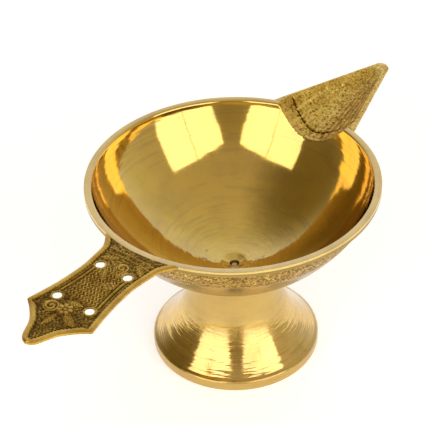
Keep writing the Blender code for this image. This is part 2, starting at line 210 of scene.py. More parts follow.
def wave(value, period):
    """Rounded ridges repeated every period, between 0 and 1."""
    return 0.5 + 0.5 * np.cos(TAU * value / period)


def curve_through(points, steps):
    """Catmull-Rom curve through a few points."""
    padded = [points[0]] + list(points) + [points[-1]]
    found = []
    for a, b, c, d in zip(padded, padded[1:], padded[2:], padded[3:]):
        for step in range(steps):
            t = step / steps
            found.append([
                0.5 * (2 * q + (r - p) * t + (2 * p - 5 * q + 4 * r - s) * t ** 2
                       + (3 * q - p - 3 * r + s) * t ** 3)
                for p, q, r, s in zip(a, b, c, d)])
    found.append(list(points[-1]))
    return found


def arc_points(centre, radius, start, end, steps):
    """Points round a (radius, height) centre, angles in degrees."""
    angles = [math.radians(start + (end - start) * i / steps) for i in range(steps + 1)]
    return [(centre[0] + radius * math.cos(a), centre[1] + radius * math.sin(a)) for a in angles]


def line_points(start, end, steps):
    return [(start[0] + (end[0] - start[0]) * i / steps, start[1] + (end[1] - start[1]) * i / steps)
            for i in range(1, steps + 1)]


# ---------------------------------------------------------------- meshes

def add_mesh(name, points, faces, sharp=40):
    mesh = bpy.data.meshes.new(name)
    mesh.from_pydata(points, [], faces)
    mesh.update()
    mesh.shade_smooth()
    mesh.set_sharp_from_angle(angle=math.radians(sharp))
    piece = bpy.data.objects.new(name, mesh)
    bpy.context.scene.collection.objects.link(piece)
    return piece


def place(piece, body, node_name, material):
    """Give a piece its finish and its body, and let it stand for its CAD node."""
    piece.data.materials.clear()
    piece.data.materials.append(material)
    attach(piece, body)
    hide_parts(node_name)
    return piece


def set_relief(piece, relief):
    """Keep a height, about 0 in the recesses and 1 on the crests, for the finish to read."""
    attribute = piece.data.attributes.new("relief", "FLOAT", "POINT")
    attribute.data.foreach_set("value", np.asarray(relief, dtype=np.float32).ravel())


def grid_faces(rows, columns, close_rows=False, close_columns=False, start=0):
    """Quads over a grid of points stored row by row."""
    row = np.arange(rows if close_rows else rows - 1)
    column = np.arange(columns if close_columns else columns - 1)
    row, column = [part.ravel() for part in np.meshgrid(row, column, indexing="ij")]
    next_row = (row + 1) % rows
    next_column = (column + 1) % columns
    corners = [row * columns + column, row * columns + next_column,
               next_row * columns + next_column, next_row * columns + column]
    return start + np.stack(corners, axis=1)


def turned(name, radius, height, facets, sharp=40):
    """Ring-shaped piece from a closed outline. radius and height are (rows,) or (rows, facets)."""
    radius = np.asarray(radius, dtype=float)
    height = np.asarray(height, dtype=float)
    angle = np.arange(facets) * TAU / facets
    if radius.ndim == 1:
        radius = radius[:, None] + 0 * angle
        height = height[:, None] + 0 * angle
    points = np.stack([AXIS_X + radius * np.cos(angle), radius * np.sin(angle), height], axis=-1)
    faces = grid_faces(len(radius), facets, close_rows=True, close_columns=True)
    # Turned over for outlines that run down the outside. face_out mends any other.
    piece = add_mesh(name, points.reshape(-1, 3), faces[:, ::-1].tolist(), sharp)
    face_out(piece)
    return piece


def sheet_body(name, top, bottom, sharp=50):
    """Closed body between two grids of points that share their plan."""
    rows, columns = top.shape[:2]
    count = rows * columns
    index = np.arange(count).reshape(rows, columns)
    rim = np.concatenate([index[0, :], index[1:, -1], index[-1, -2::-1], index[-2:0:-1, 0]])
    after = np.roll(rim, -1)
    side = np.stack([rim, rim + count, after + count, after], axis=1)
    faces = [grid_faces(rows, columns), grid_faces(rows, columns, start=count)[:, ::-1], side]
    points = np.concatenate([top.reshape(-1, 3), bottom.reshape(-1, 3)])
    piece = add_mesh(name, points, np.concatenate(faces).tolist(), sharp)
    face_out(piece)
    return piece


def face_out(piece):
    """Turn a closed mesh the right way out, judged by the sign of its volume."""
    mesh = piece.data
    mesh.calc_loop_triangles()
    corners = np.empty(len(mesh.loop_triangles) * 3, dtype=np.int32)
    mesh.loop_triangles.foreach_get("vertices", corners)
    points = np.empty(len(mesh.vertices) * 3, dtype=np.float32)
    mesh.vertices.foreach_get("co", points)
    a, b, c = points.reshape(-1, 3).astype(float)[corners.reshape(-1, 3)].transpose(1, 0, 2)
    if np.einsum("ij,ij->i", a, np.cross(b, c)).sum() < 0:
        mesh.flip_normals()


def cut(piece, cutters, solver="MANIFOLD"):
    """Subtract closed cutters from a piece for good."""
    for cutter in cutters:
        difference = piece.modifiers.new("cut", "BOOLEAN")
        difference.operation = "DIFFERENCE"
        difference.solver = solver
        difference.object = cutter
    graph = bpy.context.evaluated_depsgraph_get()
    mesh = bpy.data.meshes.new_from_object(piece.evaluated_get(graph))
    piece.modifiers.clear()
    piece.data = mesh
    for cutter in cutters:
        bpy.data.objects.remove(cutter, do_unlink=True)


# ---------------------------------------------------------------- finishes

def node(tree, kind, settings=None, **inputs):
    """Add a node. An input name is its socket's name with _ for a space, or n and its number."""
    made = tree.nodes.new(kind)
    for key, value in (settings or {}).items():
        setattr(made, key, value)
    for key, value in inputs.items():
        numbered = key[0] == "n" and key[1:].isdigit()
        socket = made.inputs[int(key[1:])] if numbered else made.inputs[key.replace("_", " ")]
        if isinstance(value, bpy.types.NodeSocket):
            tree.links.new(value, socket)
        else:
            socket.default_value = value
    return made


def new_finish(name, roughness, metallic=1.0):
    material = bpy.data.materials.new(name)
    material.use_nodes = True
    tree = material.node_tree
    shader = tree.nodes["Principled BSDF"]
    shader.inputs["Metallic"].default_value = metallic
    shader.inputs["Roughness"].default_value = roughness
    return material, tree, shader


def object_place(tree, scale=(1, 1, 1)):
    """Place on the object, measured from the lathe axis and scaled."""
    here = node(tree, "ShaderNodeTexCoord").outputs["Object"]
    centred = node(tree, "ShaderNodeVectorMath", {"operation": "SUBTRACT"}, n0=here,
                   n1=(AXIS_X, 0, 0)).outputs[0]
    return node(tree, "ShaderNodeVectorMath", {"operation": "MULTIPLY"}, n0=centred,
                n1=scale).outputs[0]


def turning_place(tree, along_scale, around_scale):
    """Place on a turned piece: along its outline and round the axis, each scaled for noise."""
    here = object_place(tree)
    parts = node(tree, "ShaderNodeSeparateXYZ", n0=here).outputs
    flat = node(tree, "ShaderNodeCombineXYZ", n0=parts[0], n1=parts[1]).outputs[0]
    radius = node(tree, "ShaderNodeVectorMath", {"operation": "LENGTH"}, n0=flat).outputs["Value"]
    along = node(tree, "ShaderNodeMath", {"operation": "SUBTRACT"}, n0=radius,
                 n1=parts[2]).outputs[0]
    along = node(tree, "ShaderNodeMath", {"operation": "MULTIPLY"}, n0=along,
                 n1=along_scale).outputs[0]
    around = node(tree, "ShaderNodeVectorMath", {"operation": "NORMALIZE"}, n0=flat).outputs[0]
    around = node(tree, "ShaderNodeVectorMath", {"operation": "SCALE"}, n0=around,
                  Scale=around_scale).outputs[0]
    lift = node(tree, "ShaderNodeCombineXYZ", n2=along).outputs[0]
    return node(tree, "ShaderNodeVectorMath", {"operation": "ADD"}, n0=around, n1=lift).outputs[0]


def height_zones(tree, stops, top):
    """Grey or colour steps up the piece from 0 to top: stops are (height, colour)."""
    height = node(tree, "ShaderNodeSeparateXYZ", n0=object_place(tree, (0, 0, 1 / top))).outputs[2]
    return ramp(tree, height, [(where / top, colour) for where, colour in stops])


def noise(tree, place_socket, scale, detail=2.0, rough=0.5, dimensions="3D"):
    settings = {"noise_dimensions": dimensions}
    inputs = {"Scale": scale, "Detail": detail, "Roughness": rough}
    inputs["W" if dimensions == "1D" else "Vector"] = place_socket
    return node(tree, "ShaderNodeTexNoise", settings, **inputs).outputs[0]


def ramp(tree, factor, stops):
    """Colour or grey steps over a factor: stops are (place, colour)."""
    made = node(tree, "ShaderNodeValToRGB", n0=factor)
    elements = made.color_ramp.elements
    while len(elements) < len(stops):
        elements.new(1.0)
    for element, (where, colour) in zip(elements, stops):
        element.position = where
        element.color = (*colour, 1) if len(colour) == 3 else (colour[0],) * 3 + (1,)
    return made.outputs[0]


def mix(tree, factor, first, second, blend="MIX"):
    made = node(tree, "ShaderNodeMix", {"data_type": "RGBA", "blend_type": blend}, n0=factor)
    for index, value in ((6, first), (7, second)):
        if isinstance(value, bpy.types.NodeSocket):
            tree.links.new(value, made.inputs[index])
        else:
            made.inputs[index].default_value = (*value, 1)
    return made.outputs[2]


def bump(tree, height, depth, strength=1.0, normal=None):
    made = node(tree, "ShaderNodeBump", Height=height, Distance=depth, Strength=strength)
    if normal is not None:
        tree.links.new(normal, made.inputs["Normal"])
    return made.outputs[0]


def turned_finish(name, tones, roughness, ripple, stain_scale=60, coat=0.8):
    """Turned and buffed brass: fine rings, faint stains and a changing polish.

    tones is a bright and a dull colour, or a function of the tree that gives sockets for both and
    one that scales the roughness. roughness is its lowest and highest value. ripple is the depth of
    the slow waves that the tool leaves.
    """
    material, tree, shader = new_finish(name, roughness[0])
    if callable(tones):
        bright, dull, polish = tones(tree)
    else:
        bright, dull = tones
        polish = None
    rings = noise(tree, turning_place(tree, 2600, 1.5), 1.0, 3.0, 0.65)
    waves = noise(tree, turning_place(tree, 420, 2.2), 1.0, 2.0, 0.55)
    streaks = noise(tree, turning_place(tree, 90, 16), 1.0, 3.0, 0.6)
    stain = noise(tree, object_place(tree), stain_scale, 4.0, 0.62)
    specks = noise(tree, object_place(tree), 620, 2.0, 0.5)
    tint = mix(tree, ramp(tree, stain, [(0.42, (0.0,)), (0.74, (0.8,))]), bright, dull)
    lined = mix(tree, ramp(tree, rings, [(0.34, (0.55,)), (0.48, (0.0,))]), tint, dull)
    dark = mix(tree, ramp(tree, specks, [(0.235, (0.8,)), (0.26, (0.0,))]), lined, BRASS_DEEP)
    tree.links.new(dark, shader.inputs["Base Color"])
    spread = ramp(tree, streaks, [(0.3, (roughness[0],)), (0.72, (roughness[1],))])
    if polish is not None:
        spread = mix(tree, 1.0, spread, polish, "MULTIPLY")
    tree.links.new(spread, shader.inputs["Roughness"])
    shader.inputs["Coat Weight"].default_value = coat
    shader.inputs["Coat IOR"].default_value = COAT_IOR
    shader.inputs["Coat Roughness"].default_value = COAT_ROUGHNESS
    slow = bump(tree, waves, ripple)
    tree.links.new(bump(tree, rings, 0.03 * ripple, 1.0, slow), shader.inputs["Normal"])
    return material


def cast_finish(name, tones, grain_share, grain):
    """Cast brass: patina left in the recesses, crests rubbed bright, and a fine grain.

    grain_share is how much the grain changes the colour, against the relief of the mesh, and grain
    is its scale.
    """
    bright, mid, recess = tones
    material, tree, shader = new_finish(name, CREST_ROUGHNESS)
    relief = node(tree, "ShaderNodeAttribute", {"attribute_name": "relief"}).outputs["Fac"]
    fine = noise(tree, object_place(tree), grain, 3.0, 0.65)
    stain = noise(tree, object_place(tree), 130, 3.0, 0.6)
    jitter = node(tree, "ShaderNodeMath", {"operation": "MULTIPLY_ADD"}, n0=fine,
                  n1=grain_share, n2=-0.5 * grain_share).outputs[0]
    height = node(tree, "ShaderNodeMath", {"operation": "ADD"}, n0=relief, n1=jitter).outputs[0]
    colour = ramp(tree, height, [(0.10, recess), (0.46, mid), (0.86, bright)])
    warm = mix(tree, ramp(tree, stain, [(0.42, (0.0,)), (0.68, (0.55,))]), colour, mid, "MULTIPLY")
    tree.links.new(warm, shader.inputs["Base Color"])
    polish = ramp(tree, height, [(0.1, (RECESS_ROUGHNESS,)), (0.85, (CREST_ROUGHNESS,))])
    tree.links.new(polish, shader.inputs["Roughness"])
    tree.links.new(bump(tree, fine, CAST_GRAIN_DEPTH), shader.inputs["Normal"])
    return material


def foot_zones_and_painted_shade(tree):
    """The foot is satin on its band and neck and polished on the flare between them; band and neck
    are also darker in colour as painted shade.
    """
    top = 32 * MM
    band = 3.4 * MM
    flare = 4.4 * MM
    neck = 21 * MM
    # BRASS_TAN on the band and neck, darker than the flare's colour, is painted shade
    bright = height_zones(tree, [(0.0, BRASS_TAN), (band, BRASS_TAN), (flare, BRASS_BRIGHT),
                                 (14 * MM, BRASS_BRIGHT), (neck, BRASS_TAN)], top)
    dull = height_zones(tree, [(0.0, (0.50, 0.31, 0.07)), (flare, (0.42, 0.23, 0.03)),
                               (neck, (0.52, 0.33, 0.08))], top)
    polish = height_zones(tree, [(0.0, (1.0,)), (band, (1.0,)), (flare, (0.30,)),
                                 (12 * MM, (0.36,)), (19 * MM, (1.0,))], top)
    return bright, dull, polish


def steel_finish():
    material, tree, shader = new_finish("zinc_plated_steel", 0.34)
    cloudy = noise(tree, object_place(tree), 700, 3.0, 0.6)
    tree.links.new(ramp(tree, cloudy, [(0.3, STEEL_DULL), (0.7, STEEL)]),
                   shader.inputs["Base Color"])
    tree.links.new(bump(tree, cloudy, 0.02 * MM), shader.inputs["Normal"])
    return material


def rubber_finish():
    material, tree, shader = new_finish("black_rubber", 0.72, 0.0)
    grainy = noise(tree, object_place(tree), 2500, 3.0, 0.6)
    tree.links.new(ramp(tree, grainy, [(0.3, RUBBER_DULL), (0.7, RUBBER)]),
                   shader.inputs["Base Color"])
    tree.links.new(bump(tree, grainy, 0.03 * MM), shader.inputs["Normal"])
    return material


# ---------------------------------------------------------------- bowl

def bowl_radius(fall, mouth, depth):
    """Radius of the bowl's curve at a depth below the lip."""
    share = np.clip(fall / depth, 0, 1) ** BOWL_FULLNESS
    return mouth * (1 - share) ** BOWL_ROUNDNESS


def bowl_fall(radius, mouth, depth):
    """Depth below the lip at a radius of the bowl's curve."""
    return depth * (1 - (radius / mouth) ** (1 / BOWL_ROUNDNESS)) ** (1 / BOWL_FULLNESS)


def even_radii(mouth, first, last, steps):
    """Radii from first in to last, spaced about evenly along the bowl's curve."""
    def angle(radius):
        return math.acos(min(radius / mouth, 1) ** (0.5 / BOWL_ROUNDNESS))

    angles = np.linspace(angle(first), angle(last), steps + 1)
    return mouth * np.cos(angles) ** (2 * BOWL_ROUNDNESS)


def band_relief(angle, fall):
    """Worn leaf and grain pattern of the as-cast band, from 0 to 1."""
    around = angle * RIM_RADIUS
    leaf = wave(around + 1.3 * MM * np.sin(TAU * fall / (4.1 * MM)), 3.3 * MM)
    leaf *= wave(fall + 0.5 * MM * np.sin(TAU * around / (6.6 * MM)), 3.1 * MM)
    grain = value_noise(around, fall, 0.75 * MM, 11)
    coarse = value_noise(around, fall, 1.9 * MM, 12)
    return 0.30 + 0.14 * leaf + 0.22 * grain + 0.14 * coarse


def make_bowl(inside_finish, cast, outside_finish, lip_finish):
    depth_outside = BOWL_DEPTH + BOWL_FLOOR
    mouth_outside = MOUTH_RADIUS + BOWL_WALL
    seat_edge = NECK_RADIUS + SEAT_FILLET
    band_start = LIP_EDGE + 0.6 * MM
    band_end = LIP_EDGE + CAST_BAND
    outer = line_points((RIM_RADIUS - 0.15 * MM, LIP_Z), (RIM_RADIUS, LIP_Z - 0.3 * MM), 2)
    outer += line_points((RIM_RADIUS, LIP_Z - 0.3 * MM), (RIM_RADIUS, LIP_Z - LIP_EDGE), 3)
    band_falls = np.linspace(band_start, band_end, 31)
    band = [(bowl_radius(fall, mouth_outside, depth_outside), LIP_Z - fall) for fall in band_falls]
    low_start = bowl_radius(band_end + 0.25 * MM, mouth_outside, depth_outside)
    low_radii = even_radii(mouth_outside, low_start, seat_edge, 26)
    low = [(r, LIP_Z - bowl_fall(r, mouth_outside, depth_outside)) for r in low_radii]
    fillet_centre = (NECK_RADIUS + SEAT_FILLET, low[-1][1] - SEAT_FILLET)
    fillet = arc_points(fillet_centre, SEAT_FILLET, 90, 180, 6)[1:]
    under = [(NECK_RADIUS, SEAT_Z + 0.1 * MM), (NECK_RADIUS - 0.1 * MM, SEAT_Z),
             (BOSS_RADIUS, SEAT_Z), (BOSS_RADIUS, BOSS_Z), (BORE_RADIUS, BOSS_Z)]
    dish_edge = FLOOR_Z - DISH_DEPTH
    bore = [(BORE_RADIUS, dish_edge - 0.15 * MM), (BORE_RADIUS + 0.15 * MM, dish_edge)]
    dish = [(BORE_RADIUS + (DISH_RADIUS - BORE_RADIUS) * share,
             FLOOR_Z - DISH_DEPTH * (1 - share ** 1.2)) for share in np.linspace(0.08, 1, 8)]
    inner_start = bowl_radius(LIP_CHAMFER, MOUTH_RADIUS, BOWL_DEPTH)
    inner_radii = even_radii(MOUTH_RADIUS, inner_start, DISH_RADIUS + 0.3 * MM, 62)[::-1]
    inner = [(r, LIP_Z - bowl_fall(r, MOUTH_RADIUS, BOWL_DEPTH)) for r in inner_radii]
    ripple = np.random.default_rng(3).normal(0, 1, len(inner)) * WALL_RIPPLE
    inner = [(r + w, z) for (r, z), w in zip(inner, ripple)]
    lip = [(MOUTH_RADIUS + 0.1 * MM, LIP_Z - 0.25 * MM), (MOUTH_RADIUS + LIP_CHAMFER, LIP_Z)]
    outline = np.array(outer + band + low + fillet + under + bore + dish + inner + lip)
    radius, height = outline.T
    facets = BOWL_FACETS
    angle = np.arange(facets) * TAU / facets
    relief = np.ones((len(outline), facets))
    first = len(outer)
    last = first + len(band)
    pattern = band_relief(angle[None, :], band_falls[:, None])
    relief[first:last] = pattern
    radius = radius[:, None] + 0 * angle
    from_ends = np.minimum(band_falls - band_start, band_end - band_falls)
    fade = smooth_step(from_ends, -0.2 * MM, 0.6 * MM)[:, None]
    radius[first:last] += (pattern - 0.55) * BAND_RELIEF * fade
    bowl = turned("bowl_turned", radius, height[:, None] + 0 * angle, facets, 45)
    set_relief(bowl, relief)
    for finish in (inside_finish, cast, outside_finish, lip_finish):
        bowl.data.materials.append(finish)
    # numbers of the finishes in the order they were added
    inside_slot, band_slot, outside_slot, lip_slot = range(4)
    lip_start = len(outline) - len(lip)
    inside_start = lip_start - len(inner) - len(dish)
    face_row = np.repeat(np.arange(len(outline)), facets)
    index = np.full(len(face_row), outside_slot)
    index[(face_row < 2) | (face_row >= lip_start)] = lip_slot
    index[(face_row >= inside_start) & (face_row < lip_start)] = inside_slot
    index[(face_row >= first - 1) & (face_row < last)] = band_slot
    bowl.data.polygons.foreach_set("material_index", index.astype(np.int32))
    cut(bowl, [trough_cutter()])
    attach(bowl, "bowl_body")
    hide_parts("bowl")
    return bowl


# ---------------------------------------------------------------- spout

SIDE_START = math.sqrt(RIM_RADIUS ** 2 - SPOUT_ROOT ** 2)
SPOUT_TAPER = (SPOUT_ROOT - SPOUT_TIP_RADIUS) / (SPOUT_REACH - SPOUT_TIP_RADIUS - SIDE_START)


def spout_half_width(x):
    straight = SPOUT_ROOT - SPOUT_TAPER * (x - SIDE_START)
    from_centre = np.clip(x - (SPOUT_REACH - SPOUT_TIP_RADIUS), 0, SPOUT_TIP_RADIUS)
    return np.minimum(straight, np.sqrt(SPOUT_TIP_RADIUS ** 2 - from_centre ** 2)
                      + 100 * (from_centre == 0))


def trough_half_width(x):
    half_width = spout_half_width(x)
    return np.minimum(TROUGH_MOUTH, half_width - np.minimum(SPOUT_BORDER, 0.45 * half_width))


def spout_level(x):
    return LIP_Z - SPOUT_DROP * np.clip((x - RIM_RADIUS) / (SPOUT_REACH - RIM_RADIUS), 0, 1)


def trough_depth(x):
    inner_end = MOUTH_RADIUS - LIP_WIDTH
    along = (x - inner_end) / (SPOUT_REACH - inner_end)
    depth = TROUGH_DEPTH + (TROUGH_TIP_DEPTH - TROUGH_DEPTH) * along
    return depth * (1 - smooth_step(x, SPOUT_REACH - 10 * MM, SPOUT_REACH - 4 * MM))


def trough_height(x, y):
    """Height of the spout's upper side: the hanging trough between two flat borders."""
    across = np.clip(np.abs(y) / trough_half_width(x), 0, 1)
    return spout_level(x) - trough_depth(x) * (1 - across ** 2)


def spout_underside(x, y):
    across = np.clip(np.abs(y) / np.maximum(spout_half_width(x), 0.1 * MM), 0, 1)
    return (spout_level(x) - SPOUT_EDGE
            - (trough_depth(x) + SPOUT_WALL - SPOUT_EDGE) * (1 - across ** 2))


def trough_cutter():
    """Body over the trough that opens the bowl's wall down to the trough's surface."""
    along = np.linspace(MOUTH_RADIUS - 12 * MM, RIM_RADIUS + 4 * MM, 13)[:, None]
    across = np.linspace(-1, 1, 61)[None, :] * (TROUGH_MOUTH + 0.02 * MM)
    x = along + 0 * across
    y = across + 0 * along
    low = trough_height(x, y) - 0.10 * MM
    bottom = np.stack([x + AXIS_X, y, low], axis=-1)
    top = np.stack([x + AXIS_X, y, 0 * x + LIP_Z + 3 * MM], axis=-1)
    return sheet_body("trough_cutter", top, bottom)


def spout_relief(x, y):
    """Height of the casting's texture, in metres, and its share for the finish, mostly 0 to 1."""
    half_width = trough_half_width(x)
    out = x - RIM_RADIUS
    textured = smooth_step(half_width - np.abs(y), 0.2 * MM, 1.1 * MM)
    textured *= 1 - smooth_step(out, 34 * MM, 39 * MM)
    # pits in rows that run to the tip, coarser on the -Y half
    grain = value_noise(x, y, 0.65 * MM, 21)
    coarse = value_noise(x, y, 1.10 * MM, 22)
    rows = wave(y / half_width, 0.17)
    coarse_half = smooth_step(-y, -5 * MM, 1 * MM)
    texture = (1 - coarse_half) * (0.30 + 0.45 * grain)
    texture += coarse_half * (0.30 * grain + 0.38 * coarse + 0.30 * rows)
    # three rows of raised dashes on the +Y half
    dashes = 0 * x
    for lane in DASH_ROWS:
        line = crest(y - lane * (1 - 0.012 * out / MM), 0.55 * MM)
        dashes = np.maximum(dashes, line * smooth_step(value_noise(x, y, 1.1 * MM, 24), 0.35, 0.6))
    dashes *= 1 - smooth_step(out, 24 * MM, 30 * MM)
    # one engraved groove round the trough's mouth
    bend = GROOVE_BEND * MM * (np.abs(y) / MM) ** GROOVE_POWER
    groove = crest(x - GROOVE_X - bend, 0.5 * MM)
    relief = np.clip(0.52 + 0.9 * (texture - 0.40), 0, 1) * textured
    relief += (0.66 + 0.14 * grain) * (1 - textured) + (0.75 * dashes - 0.95 * groove) * textured
    return (relief - 0.75) * SPOUT_RELIEF, relief


def make_spout(finish):
    rows = 236
    columns = 125
    share = np.linspace(-1, 1, columns)
    trough_share = 0.84
    in_trough = np.abs(share) <= trough_share

    def plan_y(x):
        inner = trough_half_width(x)
        rest = (np.abs(share) - trough_share) / (1 - trough_share)
        border = inner + rest * (spout_half_width(x) - inner)
        return np.sign(share) * np.where(in_trough, np.abs(share) / trough_share * inner, border)

    start = np.full(columns, MOUTH_RADIUS)
    for _ in range(12):
        y = plan_y(start)
        wall = bowl_radius(LIP_Z - trough_height(start, y), MOUTH_RADIUS, BOWL_DEPTH) + 0.15 * MM
        outside = RIM_RADIUS + 0.02 * MM
        reach = np.where(in_trough, np.minimum(wall, outside), outside)
        start = np.sqrt(np.maximum(reach ** 2 - y ** 2, (20 * MM) ** 2))
    end = SPOUT_REACH - 0.05 * MM
    x = start[None, :] + (end - start)[None, :] * np.linspace(0, 1, rows)[:, None]
    y = np.array([plan_y(line) for line in x])
    height, relief = spout_relief(x, y)
    from_edge = spout_half_width(x) - np.abs(y)
    rounding = 0.45 * MM * (1 - smooth_step(from_edge, 0, 0.7 * MM))
    top = trough_height(x, y) + height - rounding - 0.04 * MM
    bottom = np.minimum(spout_underside(x, y), top - 0.6 * MM)
    spout = sheet_body("spout_cast", np.stack([x + AXIS_X, y, top], axis=-1),
                       np.stack([x + AXIS_X, y, bottom], axis=-1), 60)
    set_relief(spout, np.concatenate([relief, 0.62 + 0 * relief]))
    return place(spout, "bowl_body", "spout", finish)


# ---------------------------------------------------------------- handle

def handle_side():
    """Half-width of the plate against distance out from the lathe axis, as two arrays."""
    length = HANDLE_REACH - RIM_RADIUS

    def at(share):
        return RIM_RADIUS + length * share

    start = RIM_RADIUS + 0.3 * MM
    seat_x = math.sqrt(start ** 2 - HANDLE_ROOT ** 2)
    side = curve_through([
        (seat_x, HANDLE_ROOT),
        (at(0.055), 0.30 * HANDLE_ROOT + 0.70 * HANDLE_WAIST),
        (at(0.15), 0.12 * HANDLE_ROOT + 0.88 * HANDLE_WAIST),
        (at(0.30), HANDLE_WAIST),
        (at(0.5), 0.68 * HANDLE_WAIST + 0.32 * HANDLE_SHOULDER),
        (at(0.70), HANDLE_SHOULDER),
    ], 24)
    end = curve_through([
        (at(0.70) + 0.5 * MM, HANDLE_SHOULDER - 0.2 * MM),
        (at(0.755), 0.76 * HANDLE_SHOULDER),
        (at(0.84), 0.45 * HANDLE_SHOULDER),
        (at(0.94), HANDLE_TIP_RADIUS * 1.35),
        (HANDLE_REACH - HANDLE_TIP_RADIUS * 0.35, HANDLE_TIP_RADIUS * 0.75),
        (HANDLE_REACH, 0.0),
    ], 24)
    return np.array(side + end).T


def local(x, y, centre, degrees):
    """Plan coordinates turned about an ornament's centre."""
    turn = math.radians(degrees)
    dx = x - centre[0]
    dy = y - centre[1]
    return (dx * math.cos(turn) + dy * math.sin(turn), dy * math.cos(turn) - dx * math.sin(turn))


def leaf(x, y, centre, degrees, length, width):
    """A leaf with a midrib and side veins, from 0 to 1."""
    along, across = local(x, y, centre, degrees)
    share = np.clip(along / length, 0, 1)
    half = width * np.sin(math.pi * share ** 0.8) ** 0.8 + 1e-9
    inside = smooth_step(1 - np.abs(across) / half, 0, 0.25) * (along > 0) * (along < length)
    veins = wave(along - 1.1 * np.abs(across), 1.05 * MM)
    rib = crest(across, 0.28 * MM)
    return inside * np.maximum(0.45 + 0.5 * veins, rib)


def rosette(x, y, centre, radius, petals, degrees=0):
    """A flower: a round heart, a groove and a ring of petals."""
    dx, dy = local(x, y, centre, degrees)
    distance = np.hypot(dx, dy)
    angle = np.arctan2(dy, dx)
    edge = radius * (0.74 + 0.26 * np.abs(np.cos(petals * angle / 2)))
    ring = smooth_step(1 - distance / edge, 0, 0.2) * smooth_step(distance / radius, 0.28, 0.40)
    ring *= 0.35 + 0.65 * np.abs(np.cos(petals * angle / 2)) ** 0.7
    return np.maximum(ring, crest(distance, 0.30 * radius))


def scroll(x, y, centre, radius, turns=1.6, degrees=0):
    """A spiral ridge."""
    dx, dy = local(x, y, centre, degrees)
    distance = np.hypot(dx, dy)
    angle = np.arctan2(dy, dx) / TAU
    pitch = radius / turns
    phase = distance / pitch - angle
    line = 1 - np.abs(phase - np.round(phase)) * 2
    return smooth_step(line, 0.35, 0.8) * (distance < radius) + crest(distance - radius, 0.3 * MM)


def handle_relief(out, y, half_width):
    """Ornament of the plate's field from 0 to 1. out is the distance out from the rim."""
    edge = half_width - np.abs(y)
    grain = value_noise(out, y, 0.50 * MM, 31)
    coarse = value_noise(out, y, 1.1 * MM, 32)
    # flutes along both long sides
    flutes = wave(edge - HANDLE_BORDER - 0.75 * MM, 1.45 * MM) * (0.72 + 0.28 * grain)
    flute_zone = smooth_step(out, 10 * MM, 14 * MM) * (1 - smooth_step(out, 26 * MM, 30 * MM))
    flute_zone = flute_zone * (1 - smooth_step(edge, 4.4 * MM, 5.2 * MM))
    # wavy cords in the middle
    cords = wave(y + 0.34 * MM * np.sin(TAU * out / (1.9 * MM)), 1.25 * MM)
    links = wave(out + 0.8 * y, 1.55 * MM)
    middle = 0.55 * cords + 0.30 * links * cords + 0.30 * grain
    # scales near the rim
    near = 0.50 * grain + 0.42 * coarse * wave(out + 0.5 * np.abs(y), 1.9 * MM)
    near_zone = 1 - smooth_step(out, 8.5 * MM, 10.5 * MM)
    # scales in wavy rows near the tip
    far_zone = smooth_step(out, 27 * MM, 29 * MM)
    far = 0.34 * grain + 0.36 * wave(y + 0.6 * MM * np.sin(TAU * out / (3 * MM)), 1.5 * MM) * coarse
    field = middle * (1 - near_zone) * (1 - far_zone) + near * near_zone + far * far_zone
    field = field * (1 - flute_zone) + flutes * flute_zone
    figures = [
        rosette(out, y, (33.7 * MM, 0.3 * MM), 2.9 * MM, 7),
        rosette(out, y, (17.6 * MM, -3.4 * MM), 2.1 * MM, 6),
        scroll(out, y, (34.9 * MM, 4.9 * MM), 2.3 * MM),
        scroll(out, y, (8.6 * MM, -1.2 * MM), 1.9 * MM, 1.4, 120),
        leaf(out, y, (36.0 * MM, -1.8 * MM), -66, 6.4 * MM, 1.7 * MM),
        leaf(out, y, (30.6 * MM, 2.0 * MM), -100, 5.6 * MM, 1.3 * MM),
        leaf(out, y, (37.2 * MM, 0.8 * MM), 8, 6.0 * MM, 1.3 * MM),
        leaf(out, y, (16.6 * MM, 0.4 * MM), 152, 5.6 * MM, 1.3 * MM),
        leaf(out, y, (13.2 * MM, -2.2 * MM), 205, 4.6 * MM, 1.3 * MM),
        leaf(out, y, (5.2 * MM, 3.0 * MM), 60, 6.2 * MM, 1.4 * MM),
        leaf(out, y, (5.0 * MM, -4.6 * MM), -52, 6.2 * MM, 1.4 * MM),
    ]
    for figure in figures:
        field = np.maximum(field * (1 - 0.75 * smooth_step(figure, 0, 0.2)), figure)
    # cross bands near the rim
    for where in (2.3 * MM, 4.2 * MM):
        band = crest(out - where - 0.010 * (y / MM) ** 2 * MM, 0.55 * MM)
        field = np.maximum(field, band * (0.45 + 0.55 * wave(y, 1.2 * MM)))
    # a raised ring round each hole
    for distance, offset in (NEAR_HOLES, FAR_HOLES):
        for side in (1, -1):
            ring = np.hypot(out - distance, y - side * offset) - HOLE_RADIUS
            field = np.maximum(field, 0.9 * crest(ring - 0.35 * MM, 0.55 * MM))
    return np.clip(field, 0, 1)


